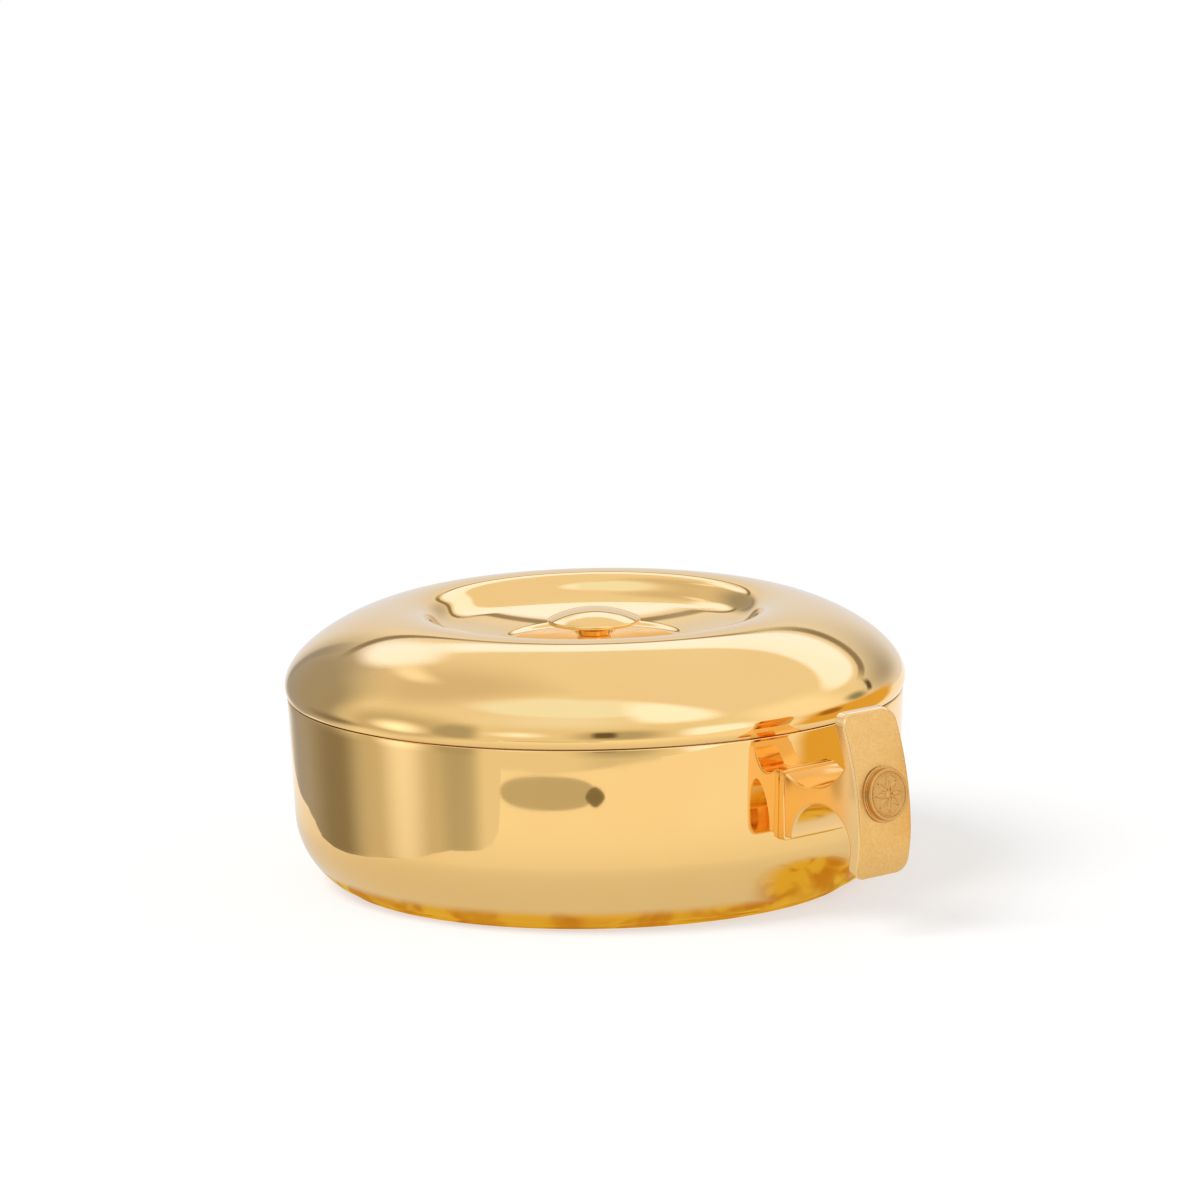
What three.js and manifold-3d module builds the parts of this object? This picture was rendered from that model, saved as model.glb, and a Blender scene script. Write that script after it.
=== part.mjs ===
// Stacking ciborium: a low round bowl with a lift-off lid, a knob sunk in the lid's well
// and a cast handle on one side. Millimetres, +Z up. The handle points along +X.
// The origin lies under the middle of the whole outline, on the plane the foot stands on.

import * as THREE from 'three';
import { mergeVertices } from 'three/addons/utils/BufferGeometryUtils.js';
import Module from 'manifold-3d';

const wasm = await Module();
wasm.setup();

// Clearances
const seatGap = 0.3; // between curved or tilted faces that meet
const lidSlide = 0.45; // between the lid's locating ring and the bowl's mouth, on the radius

// Bowl, spun from sheet
const bowlMouthRadius = 81.9;
const bowlHeight = 50.2;
const bowlFlare = 1.4; // how much wider the mouth is than the waist, where the curve starts
const bowlCurveRadius = 22;
const bowlCurveEnd = 2.2; // height of the curve's lower end above the table
const bowlHem = 2.93; // from the foot out to the curve's lower end
const bowlHemRound = 1.1; // how far the hem rolls down before it turns up beside the foot
const bowlWall = 1.2;
const bowlFloorBlend = 38; // degrees below the waist where the inside turns into the floor
const bowlFloorFillet = 6.5;
const bowlRimRound = 0.4;

// Foot ring under the bowl, sized to sit over the crown of the lid below
const footInset = 12.3; // from the bowl's waist in to the foot
const footWidth = 2.6;
const footHeight = 3.6;
const footEdgeRound = 0.6;

// Lid, spun from sheet: a raised ring around a sunk dish
const lidOverhang = 0.6; // past the bowl's mouth
const lidWall = 1.2;
const lidLipHeight = 2.7; // from the lip's lower edge to the widest place
const lidLipTuck = 0.7; // how far the lip draws in below the widest place
const lidRise = 19.9; // from the widest place to the crest
const crestInset = 31.7; // from the lid's edge in to the crest
const domeFullness = 9.2; // how far the side of the dome runs straight up
const crownFullness = 12; // how far the crown runs level, outside the crest
const wellShoulder = 9; // how far the crown runs level, inside the crest
const wellWidth = 13.8; // from the crest in to the dish
const dishCurvature = 145;
const dishShoulder = 8; // how far the dish's own slope runs up into the wall
const dishDepth = 11.6; // from the crest to the middle of the dish

// Locating ring inside the lid
const locatingRingWall = 1.2;
const locatingRingDrop = 5.8; // below the bowl's rim
const locatingRingRise = 4.6; // above the bowl's rim
const locatingRingLead = 0.5; // chamfer that leads it into the bowl

// Knob and the stud that holds it
const knobRadius = 12.4;
const knobBelowCrest = 0.9; // keeps the knob under the foot of the ciborium stacked on top
const knobDome = 3;
const knobRimThickness = 0.9;
const knobNeckRadius = 4.4;
const knobRimBevel = 0.3;
const knobUnderside = 3.4; // from the rim's underside down to the neck
const knobFlareStart = 1.4; // how steeply the neck starts to flare
const knobFlareEnd = 4; // how far the flare runs level under the rim
const knobFlareDip = 0.6;
const knobBaseRadius = 6;
const knobBaseEdge = 0.4; // height of the base's upright edge
const knobBaseFillet = 1;
const studRadius = 2.5;
const studEngagement = 5; // length of stud inside the knob
const studTail = 1.2; // length of stud past the nut
const studWasherRadius = 7;
const studWasherThickness = 1;
const studNutAcrossFlats = 8;
const studNutHeight = 4;
const threadChamfer = 0.5; // at the ends of every stud and screw

// Saddle between the casting and the curved bowl
const saddleThickness = 1.1; // at its thinnest, on the handle's middle plane
const saddleCornerRadius = 0.8;
const saddleDrop = 0.9; // of the saddle below the root

// Handle, cast in one piece: an upright strap, a waisted web and a root
const handleWidth = 18.6;
const handleReach = 28.3; // from the saddle to the widest place of the strap
const strapBulgeHeight = 28;
const strapUpperRadius = 76;
const strapLowerRadius = 37;
const strapThickness = 3.6;
const strapTop = 58.6;
const strapBottom = 15.2;
const strapCornerRadius = 3.5;
const castEdge = 0.6; // softened edges of the casting
const webHeight = 35.9; // of the web's middle above the table
const webThickness = 4.2; // at its waist
const rootRise = 3; // of the root above the waist
const rootDrop = 10.5; // of the root below the waist
const upperScallopInset = 9.4; // from the saddle to the middle of the upper scallop
const lowerScallopRadius = 10.6;

// Medallion set in the front of the strap
const medallionRadius = 7;
const medallionProud = 2.1;
const medallionHeight = 37.35; // of its middle above the table
const medallionSeat = 0.6; // depth of the flat cut in the strap
const medallionEdge = 0.4; // rounding of its rim
const medallionRim = 0.9;
const medallionRimRise = 0.5;
const medallionBoss = 2; // radius of the low boss in its middle
const spigotRadius = 2;
const spigotLength = 3;

// Fasteners of the handle, put in from inside the bowl
const screwRadius = 1.5;
const screwSpread = 5.2; // of each screw from the handle's middle plane
const screwDrop = 2.3; // below the web's middle
const screwReach = 6.4; // length of thread inside the casting
const screwHeadRadius = 2.75;
const screwHeadHeight = 1.65;
const screwHeadCrown = 0.8; // how far the head's round edge draws in
const screwSocketFlats = 2;
const screwSocketDepth = 1;
const backingThickness = 1.8; // at its middle, from its flat face to the wall
const backingHalfHeight = 4.5;
const backingHalfWidth = 9.3;

// Smoothness
const bodySegments = 56;
const knobSegments = 32;
const scallopSegments = 44;
const smallSegments = 24;
const toolOverrun = 1; // how far a cutting shape runs past the face that it cuts
const nearlyWhole = 1e-4; // distance under which two vertices are one

// Places worked out from the sizes above
const bowlWaistRadius = bowlMouthRadius - bowlFlare;
const footOuterRadius = bowlWaistRadius - footInset;
const lidRadius = bowlMouthRadius + lidOverhang;
const crestRadius = lidRadius - crestInset;
const dishRadius = crestRadius - wellWidth;
const lidLipZ = bowlHeight + seatGap;
const lidWidestZ = lidLipZ + lidLipHeight;
const crestZ = lidWidestZ + lidRise;
const dishZ = crestZ - dishDepth;
const holeRadius = studRadius + seatGap;
const screwHoleRadius = screwRadius + seatGap;
const bowlCurveCentreX = bowlWaistRadius - bowlCurveRadius;
const bowlCurveSweep = Math.acos(
  (footOuterRadius + seatGap + bowlHem - bowlCurveCentreX) / bowlCurveRadius);
const bowlWaistHeight = bowlCurveEnd + bowlCurveRadius * Math.sin(bowlCurveSweep);
const rootTop = webHeight + webThickness / 2 + rootRise;
const rootBottom = webHeight - webThickness / 2 - rootDrop;
const rootFace = Math.max(bowlSideRadius(rootBottom), bowlSideRadius(rootTop)) + saddleThickness;
const strapReach = rootFace + handleReach;
const screwHeight = webHeight - screwDrop;
const backingTop = screwHeight + backingHalfHeight;
const backingBottom = screwHeight - backingHalfHeight;
const backingFace = Math.min(bowlSideRadius(backingBottom), bowlSideRadius(backingTop))
  - bowlWall - seatGap - backingThickness;
const bulgeAngle = Math.asin((medallionHeight - strapBulgeHeight) / strapUpperRadius);
const medallionX = strapReach - strapUpperRadius * (1 - Math.cos(bulgeAngle));
const medallionReach = medallionX + medallionProud * Math.cos(bulgeAngle)
  + medallionRadius * Math.sin(bulgeAngle);
const axisX = (lidRadius - medallionReach) / 2;

// Outside radius of the bowl's straight side at a height
function bowlSideRadius(z) {
  const share = (z - bowlWaistHeight) / (bowlHeight - bowlRimRound - bowlWaistHeight);
  return bowlWaistRadius + (bowlMouthRadius - bowlWaistRadius) * share;
}

// Curves of an outline, as lists of points

function point(r, z) {
  return new THREE.Vector2(r, z);
}

function radians(degrees) {
  return THREE.MathUtils.degToRad(degrees);
}

function arc(centre, radius, fromAngle, toAngle, steps) {
  const turnsBack = toAngle < fromAngle;
  return new THREE.EllipseCurve(centre.x, centre.y, radius, radius, fromAngle, toAngle, turnsBack)
    .getPoints(steps);
}

function bend(from, corner, to, steps) {
  return new THREE.QuadraticBezierCurve(from, corner, to).getPoints(steps);
}

function sweep(from, handleFrom, handleTo, to, steps) {
  return new THREE.CubicBezierCurve(from, handleFrom, handleTo, to).getPoints(steps);
}

function joined(...pieces) {
  const all = pieces.flat();
  return all.filter((p, i) => i === 0 || p.distanceTo(all[i - 1]) > nearlyWhole);
}

// The same curve moved sideways by a distance, to its right as it runs
function offsetCurve(points, distance) {
  return points.map((p, i) => {
    const before = points[Math.max(i - 1, 0)];
    const after = points[Math.min(i + 1, points.length - 1)];
    const along = after.clone().sub(before).normalize();
    return point(p.x + along.y * distance, p.y - along.x * distance);
  });
}

// Solids

// Only positions, with shared vertices merged and collapsed triangles left out
function cleaned(geometry) {
  geometry.deleteAttribute('normal');
  geometry.deleteAttribute('uv');
  const merged = mergeVertices(geometry, nearlyWhole);
  const index = merged.getIndex().array;
  const kept = [];
  for (let i = 0; i < index.length; i += 3) {
    const [a, b, c] = [index[i], index[i + 1], index[i + 2]];
    if (a !== b && b !== c && c !== a) kept.push(a, b, c);
  }
  merged.setIndex(kept);
  merged.computeVertexNormals();
  return merged;
}

// A turned piece: the outline (radius, height) runs round the Z axis
function turned(outline, segments) {
  const closed = outline[0].x > nearlyWhole;
  const points = closed ? [...outline, outline[0].clone()] : outline;
  if (THREE.ShapeUtils.isClockWise(outline)) points.reverse();
  const geometry = new THREE.LatheGeometry(points, segments);
  geometry.rotateX(Math.PI / 2);
  return cleaned(geometry);
}

function toSolid(geometry) {
  const mesh = cleaned(geometry.clone());
  return new wasm.Manifold(new wasm.Mesh({
    numProp: 3,
    vertProperties: new Float32Array(mesh.getAttribute('position').array),
    triVerts: new Uint32Array(mesh.getIndex().array),
  }));
}

function toGeometry(solid) {
  const mesh = solid.getMesh();
  const geometry = new THREE.BufferGeometry();
  geometry.setAttribute('position', new THREE.BufferAttribute(mesh.vertProperties, mesh.numProp));
  geometry.setIndex(new THREE.BufferAttribute(mesh.triVerts, 1));
  geometry.computeVertexNormals();
  return geometry;
}

// A block whose outline lies in the XZ plane, centred on the XZ plane
function acrossBlock(shape, width, edge) {
  const geometry = new THREE.ExtrudeGeometry(shape, {
    depth: width - 2 * edge,
    bevelEnabled: edge > 0,
    bevelThickness: edge,
    bevelSize: edge,
    bevelOffset: -edge,
    bevelSegments: 1,
    curveSegments: 1,
  });
  geometry.rotateX(Math.PI / 2);
  geometry.translate(0, width / 2 - edge, 0);
  return geometry;
}

// A block whose outline (y, z) faces along X, from one x to another
function facingBlock(shape, fromX, toX) {
  const geometry = new THREE.ExtrudeGeometry(shape, {
    depth: toX - fromX,
    bevelEnabled: false,
    curveSegments: 5,
  });
  geometry.rotateX(Math.PI / 2);
  geometry.rotateZ(Math.PI / 2);
  geometry.translate(fromX, 0, 0);
  return geometry;
}

function roundedRectangle(halfWidth, bottom, top, radius) {
  const shape = new THREE.Shape();
  shape.moveTo(-halfWidth + radius, bottom);
  shape.lineTo(halfWidth - radius, bottom);
  shape.absarc(halfWidth - radius, bottom + radius, radius, -Math.PI / 2, 0);
  shape.lineTo(halfWidth, top - radius);
  shape.absarc(halfWidth - radius, top - radius, radius, 0, Math.PI / 2);
  shape.lineTo(-halfWidth + radius, top);
  shape.absarc(-halfWidth + radius, top - radius, radius, Math.PI / 2, Math.PI);
  shape.lineTo(-halfWidth, bottom + radius);
  shape.absarc(-halfWidth + radius, bottom + radius, radius, Math.PI, 1.5 * Math.PI);
  return shape;
}

// A drill along X, at one screw's place
function screwDrill(side, fromX, toX) {
  const geometry = new THREE.CylinderGeometry(
    screwHoleRadius, screwHoleRadius, toX - fromX, smallSegments);
  geometry.rotateZ(Math.PI / 2);
  geometry.translate((fromX + toX) / 2, side * screwSpread, screwHeight);
  return toSolid(geometry);
}

function drilledForScrews(solid, fromX, toX) {
  return solid
    .subtract(screwDrill(-1, fromX, toX))
    .subtract(screwDrill(1, fromX, toX));
}

// Outlines of the bowl

// From the curve's lower end up to the rim
function bowlSide() {
  const centre = point(bowlCurveCentreX, bowlWaistHeight);
  return joined(
    arc(centre, bowlCurveRadius, -bowlCurveSweep, 0, 8),
    [point(bowlMouthRadius, bowlHeight - bowlRimRound)],
  );
}

function bowlHemCurve() {
  const turnIn = footOuterRadius + seatGap;
  const lowest = bowlSide()[0];
  const roll = point(turnIn + bowlHemRound, bowlCurveEnd - bowlHemRound);
  return bend(point(turnIn, bowlCurveEnd), roll, lowest, 3);
}

function bowlInnerCurve() {
  const centre = point(bowlCurveCentreX, bowlWaistHeight);
  const floorZ = footHeight + bowlWall;
  const radius = bowlCurveRadius - bowlWall;
  const blendAngle = radians(bowlFloorBlend);
  const curve = arc(centre, radius, 0, -blendAngle, 5);
  const start = curve[curve.length - 1];
  const corner = point(start.x - (start.y - floorZ) * Math.tan(blendAngle), floorZ);
  const end = point(corner.x - bowlFloorFillet, floorZ);
  return joined(
    [point(bowlMouthRadius - bowlWall, bowlHeight - bowlRimRound)],
    curve,
    bend(start, corner, end, 4),
    [point(0, floorZ)],
  );
}

function bowlOutline() {
  return joined(
    [point(0, footHeight), point(footOuterRadius + seatGap, footHeight)],
    bowlHemCurve(),
    bowlSide(),
    [point(bowlMouthRadius - bowlRimRound, bowlHeight)],
    [point(bowlMouthRadius - bowlWall + bowlRimRound, bowlHeight)],
    bowlInnerCurve(),
  );
}

// The space that the outside of the bowl takes, grown by a gap
function bowlEnvelope(gap) {
  const outer = bowlSide();
  return toSolid(turned([
    point(0, outer[0].y),
    ...outer.map((p) => point(p.x + gap, p.y)),
    point(0, outer[outer.length - 1].y),
  ], bodySegments));
}

// The space inside the bowl's wall, shrunk by a gap
function bowlHollow(gap) {
  const inner = bowlInnerCurve();
  return toSolid(turned([
    point(0, bowlHeight - bowlRimRound),
    ...inner.slice(0, -1).map((p) => point(p.x - gap, p.y)),
    inner[inner.length - 1],
  ], bodySegments));
}

// Outline of the lid

function lidOuterCurve() {
  const lip = point(lidRadius - lidLipTuck, lidLipZ);
  const widest = point(lidRadius, lidWidestZ);
  const crest = point(crestRadius, crestZ);
  const dishCentre = point(0, dishZ + dishCurvature);
  const dishAngle = Math.asin(dishRadius / dishCurvature);
  const dishEdge = point(dishRadius, dishCentre.y - dishCurvature * Math.cos(dishAngle));
  const holeAngle = Math.asin(holeRadius / dishCurvature);
  return joined(
    bend(lip, point(lidRadius, lidLipZ + lidLipHeight / 2), widest, 2),
    sweep(widest, point(lidRadius, lidWidestZ + domeFullness),
      point(crestRadius + crownFullness, crestZ), crest, 9),
    sweep(crest, point(crestRadius - wellShoulder, crestZ),
      point(dishEdge.x + dishShoulder * Math.cos(dishAngle),
        dishEdge.y + dishShoulder * Math.sin(dishAngle)), dishEdge, 7),
    arc(dishCentre, dishCurvature, -Math.PI / 2 + dishAngle, -Math.PI / 2 + holeAngle, 3),
  );
}

function dishHeightAt(r) {
  return dishZ + dishCurvature - Math.sqrt(dishCurvature ** 2 - r ** 2);
}

function lidOutline() {
  const outer = lidOuterCurve();
  const inner = offsetCurve(outer, -lidWall);
  inner[0] = point(lidRadius - lidLipTuck - lidWall, lidLipZ);
  inner[inner.length - 1] = point(holeRadius, dishHeightAt(holeRadius) - lidWall);
  return joined(outer, inner.reverse());
}

// The pieces

function bowl() {
  const shell = toSolid(turned(bowlOutline(), bodySegments));
  return toGeometry(drilledForScrews(shell, backingFace, rootFace));
}

function footRing() {
  const inner = footOuterRadius - footWidth;
  return turned([
    point(inner + footEdgeRound, 0),
    point(footOuterRadius - footEdgeRound, 0),
    ...arc(point(footOuterRadius - footEdgeRound, footEdgeRound), footEdgeRound,
      -Math.PI / 2, 0, 3).slice(1),
    point(footOuterRadius, footHeight),
    point(inner, footHeight),
    point(inner, footEdgeRound),
  ], bodySegments);
}

function lid() {
  return turned(lidOutline(), bodySegments);
}

function locatingRing() {
  const outer = bowlMouthRadius - bowlWall - lidSlide;
  const inner = outer - locatingRingWall;
  const bottom = bowlHeight - locatingRingDrop;
  const top = bowlHeight + locatingRingRise;
  return turned([
    point(inner, bottom),
    point(outer - locatingRingLead, bottom),
    point(outer, bottom + locatingRingLead),
    point(outer, top),
    point(inner, top),
  ], bodySegments);
}

function knob() {
  const top = crestZ - knobBelowCrest;
  const rimZ = top - knobDome;
  const neckZ = rimZ - knobRimThickness - knobUnderside;
  const baseZ = dishHeightAt(knobBaseRadius) + seatGap;
  const domeRadius = (knobRadius ** 2 + knobDome ** 2) / (2 * knobDome);
  const domeSpan = Math.asin(knobRadius / domeRadius);
  const boreTop = dishZ + studEngagement + seatGap;
  return turned(joined(
    [point(0, boreTop), point(holeRadius, boreTop), point(holeRadius, baseZ)],
    [point(knobBaseRadius, baseZ)],
    bend(point(knobBaseRadius, baseZ + knobBaseEdge), point(knobNeckRadius, baseZ + knobBaseFillet),
      point(knobNeckRadius, neckZ), 3),
    sweep(point(knobNeckRadius, neckZ), point(knobNeckRadius + 1, neckZ + knobFlareStart),
      point(knobRadius - knobFlareEnd, rimZ - knobRimThickness - knobFlareDip),
      point(knobRadius - knobRimBevel, rimZ - knobRimThickness), 6),
    [point(knobRadius, rimZ - knobRimThickness / 2)],
    arc(point(0, top - domeRadius), domeRadius, Math.PI / 2 - domeSpan, Math.PI / 2, 6),
  ), knobSegments);
}

function washerTop() {
  return dishZ - lidWall - seatGap;
}

function knobStud() {
  const bottom = washerTop() - studWasherThickness - studNutHeight - studTail;
  const top = dishZ + studEngagement;
  return turned([
    point(0, bottom),
    point(studRadius - threadChamfer, bottom),
    point(studRadius, bottom + threadChamfer),
    point(studRadius, top - threadChamfer),
    point(studRadius - threadChamfer, top),
    point(0, top),
  ], smallSegments);
}

function knobWasher() {
  const bottom = washerTop() - studWasherThickness;
  return turned([
    point(holeRadius, bottom),
    point(studWasherRadius, bottom),
    point(studWasherRadius, washerTop()),
    point(holeRadius, washerTop()),
  ], smallSegments);
}

function knobNut() {
  const cornerRadius = studNutAcrossFlats / 2 / Math.cos(Math.PI / 6);
  const corners = [0, 1, 2, 3, 4, 5].map((i) => {
    const angle = i * Math.PI / 3;
    return point(cornerRadius * Math.cos(angle), cornerRadius * Math.sin(angle));
  });
  const hexagon = new THREE.Shape(corners);
  hexagon.holes.push(new THREE.Path().absarc(0, 0, holeRadius, 0, 2 * Math.PI, true));
  const geometry = new THREE.ExtrudeGeometry(hexagon, {
    depth: studNutHeight, bevelEnabled: false, curveSegments: smallSegments / 2,
  });
  geometry.translate(0, 0, washerTop() - studWasherThickness - studNutHeight);
  return cleaned(geometry);
}

// A line along the strap, at a depth under its front, up to where the level top cuts it
function strapLine(depth) {
  const lower = point(strapReach - strapLowerRadius, strapBulgeHeight);
  const upper = point(strapReach - strapUpperRadius, strapBulgeHeight);
  const bottomAngle = Math.asin((strapBottom - strapBulgeHeight) / strapLowerRadius);
  const topAngle = Math.asin((strapTop - strapBulgeHeight) / (strapUpperRadius - depth));
  return joined(
    arc(lower, strapLowerRadius - depth, bottomAngle, 0, 5),
    arc(upper, strapUpperRadius - depth, 0, topAngle, 8),
  );
}

// Where that line is at a height
function strapX(depth, z) {
  const radius = z < strapBulgeHeight ? strapLowerRadius : strapUpperRadius;
  return strapReach - radius + Math.sqrt((radius - depth) ** 2 - (z - strapBulgeHeight) ** 2);
}

function strapShape() {
  return new THREE.Shape(joined(strapLine(0), strapLine(strapThickness).reverse()));
}

// The upper scallop leaves the saddle at the root's top corner
function upperScallop() {
  const radius = (upperScallopInset ** 2 + rootRise ** 2) / (2 * rootRise);
  const waist = webHeight + webThickness / 2;
  return { centre: point(rootFace + upperScallopInset, waist + radius), radius };
}

// The lower scallop runs out along the back of the strap
function lowerScallop() {
  const z = webHeight - webThickness / 2 - lowerScallopRadius;
  const x = strapX(strapThickness, z) - lowerScallopRadius;
  return { centre: point(x, z), radius: lowerScallopRadius };
}

// A cutter across the handle that also softens the edges it leaves
function scallopCutter({ centre, radius }) {
  const half = handleWidth / 2;
  const flare = castEdge + toolOverrun;
  const cutter = turned([
    point(0, -half - toolOverrun),
    point(radius + flare, -half - toolOverrun),
    point(radius, -half + castEdge),
    point(radius, half - castEdge),
    point(radius + flare, half + toolOverrun),
    point(0, half + toolOverrun),
  ], scallopSegments);
  cutter.rotateX(Math.PI / 2);
  cutter.translate(centre.x, 0, centre.y);
  return toSolid(cutter);
}

// The web's front end lies inside the strap
function web() {
  const top = upperScallop().centre.y;
  const front = [0, 1, 2, 3, 4].map((i) => {
    const z = rootBottom + (top - rootBottom) * i / 4;
    return point(strapX(strapThickness / 2, z), z);
  });
  const outline = new THREE.Shape([
    point(rootFace, rootBottom), ...front, point(rootFace, top),
  ]);
  return toSolid(acrossBlock(outline, handleWidth, castEdge))
    .subtract(scallopCutter(upperScallop()))
    .subtract(scallopCutter(lowerScallop()));
}

function handle() {
  const strap = toSolid(acrossBlock(strapShape(), handleWidth, castEdge));
  const front = roundedRectangle(handleWidth / 2, strapBottom, strapTop, strapCornerRadius);
  const outline = toSolid(facingBlock(front, rootFace, strapReach + toolOverrun));
  const seatRadius = medallionRadius + seatGap;
  const spigotHole = spigotRadius + seatGap;
  const seatCutter = turned([
    point(0, -medallionSeat - spigotLength - seatGap),
    point(spigotHole, -medallionSeat - spigotLength - seatGap),
    point(spigotHole, -medallionSeat),
    point(seatRadius, -medallionSeat),
    point(seatRadius, medallionProud),
    point(0, medallionProud),
  ], smallSegments);
  setOnStrap(seatCutter);
  const casting = strap.add(web()).intersect(outline).subtract(toSolid(seatCutter));
  return toGeometry(drilledForScrews(casting, rootFace - toolOverrun,
    rootFace + screwReach + seatGap));
}

function saddle() {
  const front = roundedRectangle(
    handleWidth / 2, rootBottom - saddleDrop, rootTop, saddleCornerRadius);
  const block = toSolid(facingBlock(front, backingFace, rootFace));
  const fitted = block.subtract(bowlEnvelope(seatGap));
  return toGeometry(drilledForScrews(fitted, backingFace, rootFace + toolOverrun));
}

function backingPlate() {
  const front = roundedRectangle(backingHalfWidth, backingBottom, backingTop, saddleCornerRadius);
  const block = toSolid(facingBlock(front, backingFace, rootFace));
  const fitted = block.intersect(bowlHollow(seatGap));
  return toGeometry(drilledForScrews(fitted, backingFace - toolOverrun, rootFace));
}

function screw(side) {
  const length = rootFace + screwReach - backingFace;
  const body = turned([
    point(0, -screwHeadHeight),
    ...bend(point(screwHeadRadius - screwHeadCrown, -screwHeadHeight),
      point(screwHeadRadius, -screwHeadHeight), point(screwHeadRadius, 0), 3),
    point(screwRadius, 0),
    point(screwRadius, length - threadChamfer),
    point(screwRadius - threadChamfer, length),
    point(0, length),
  ], smallSegments);
  const socket = new THREE.CylinderGeometry(
    screwSocketFlats / Math.sqrt(3), screwSocketFlats / Math.sqrt(3), 2 * screwSocketDepth, 6);
  socket.rotateX(Math.PI / 2);
  socket.translate(0, 0, -screwHeadHeight);
  const geometry = toGeometry(toSolid(body).subtract(toSolid(socket)));
  geometry.rotateY(Math.PI / 2);
  geometry.translate(backingFace, side * screwSpread, screwHeight);
  return geometry;
}

// Turns a piece that was made about the Z axis to stand on the front of the strap
function setOnStrap(geometry) {
  geometry.rotateY(Math.PI / 2 - bulgeAngle);
  geometry.translate(medallionX, 0, medallionHeight);
}

function medallion() {
  const back = -medallionSeat + seatGap;
  const field = medallionProud - medallionRimRise;
  const fieldRadius = medallionRadius - medallionRim;
  const geometry = turned(joined(
    [point(0, back - spigotLength), point(spigotRadius, back - spigotLength)],
    [point(spigotRadius, back), point(medallionRadius, back)],
    bend(point(medallionRadius, medallionProud - medallionEdge),
      point(medallionRadius, medallionProud),
      point(medallionRadius - medallionEdge, medallionProud), 2),
    [point(fieldRadius, medallionProud), point(fieldRadius - medallionEdge, field)],
    bend(point(medallionBoss, field), point(medallionBoss / 2, field + medallionRimRise),
      point(0, field + medallionRimRise), 3),
  ), smallSegments);
  setOnStrap(geometry);
  return geometry;
}

// Finishes

function finish(color, roughness) {
  return () => new THREE.MeshStandardMaterial({ color, roughness, metalness: 1 });
}

const polishedGold = finish(0xf2c46a, 0.06);
const satinGold = finish(0xe3b05a, 0.42);
const plainSteel = finish(0xb9bbbd, 0.35);

// The whole ciborium

function piece(name, geometry, material) {
  const mesh = new THREE.Mesh(geometry, material());
  mesh.name = name;
  return mesh;
}

const base = new THREE.Group();
base.add(
  piece('bowl', bowl(), polishedGold),
  piece('foot_ring', footRing(), polishedGold),
  piece('handle', handle(), satinGold),
  piece('handle_saddle', saddle(), polishedGold),
  piece('handle_medallion', medallion(), satinGold),
  piece('handle_backing_plate', backingPlate(), plainSteel),
  piece('handle_screw_left', screw(-1), plainSteel),
  piece('handle_screw_right', screw(1), plainSteel),
);

const cover = new THREE.Group();
cover.add(
  piece('lid', lid(), polishedGold),
  piece('lid_locating_ring', locatingRing(), polishedGold),
  piece('knob', knob(), polishedGold),
  piece('knob_stud', knobStud(), plainSteel),
  piece('knob_washer', knobWasher(), plainSteel),
  piece('knob_nut', knobNut(), plainSteel),
);

const ciborium = new THREE.Group();
ciborium.add(base, cover);
ciborium.position.x = axisX;

export default ciborium;
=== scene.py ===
import math

import bmesh
import bpy
import numpy as np
from mathutils import Matrix, Vector


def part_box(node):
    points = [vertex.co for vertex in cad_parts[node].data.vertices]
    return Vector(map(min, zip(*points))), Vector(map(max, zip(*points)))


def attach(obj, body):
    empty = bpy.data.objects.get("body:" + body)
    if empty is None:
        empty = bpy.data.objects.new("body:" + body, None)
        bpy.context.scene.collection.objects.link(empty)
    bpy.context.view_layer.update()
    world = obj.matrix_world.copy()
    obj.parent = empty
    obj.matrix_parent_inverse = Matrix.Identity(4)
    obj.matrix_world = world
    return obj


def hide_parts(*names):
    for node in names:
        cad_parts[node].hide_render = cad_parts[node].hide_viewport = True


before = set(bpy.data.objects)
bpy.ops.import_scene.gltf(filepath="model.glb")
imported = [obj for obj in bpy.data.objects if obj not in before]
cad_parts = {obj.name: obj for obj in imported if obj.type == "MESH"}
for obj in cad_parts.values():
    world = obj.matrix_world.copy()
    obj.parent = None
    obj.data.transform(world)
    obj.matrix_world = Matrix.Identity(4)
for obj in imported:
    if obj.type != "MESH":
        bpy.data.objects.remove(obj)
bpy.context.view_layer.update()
print("frame loaded,", len(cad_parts), "solids")

# Lengths are millimetres, out from the bowl's axis and up from the table, unless a name says metres
mm = 0.001
lidLow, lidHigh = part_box("lid")
axisX = (lidLow.x + lidHigh.x) / 2 / mm
turnSegments = 288
samePoint = 2e-3
sharpAngle = math.radians(32)


# Curves, as lists of (out, up)
def arc(centre, radius, start, end, steps):
    return [(centre[0] + radius * math.cos(a), centre[1] + radius * math.sin(a))
            for a in np.linspace(math.radians(start), math.radians(end), steps + 1)]


# From the first control to the last, pulled towards those between; two make a straight line
def curve(controls, steps):
    points = [np.array(c, float) for c in controls]
    order = len(points) - 1
    return [tuple(sum(math.comb(order, i) * (1 - t) ** (order - i) * t ** i * p
                      for i, p in enumerate(points))) for t in np.linspace(0, 1, steps + 1)]


# Lines end to end as one, without the points that fall together
def joined(*parts):
    kept = []
    for part in parts:
        for p in part:
            if not kept or math.dist(p, kept[-1]) > samePoint:
                kept.append(p)
    return kept


# The same line moved to its right as it runs
def sideways(points, distance):
    p = np.array(points, float)
    along = np.gradient(p, axis=0)
    along /= np.linalg.norm(along, axis=1)[:, None]
    return p + np.stack([along[:, 1], -along[:, 0]], 1) * distance


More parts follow.
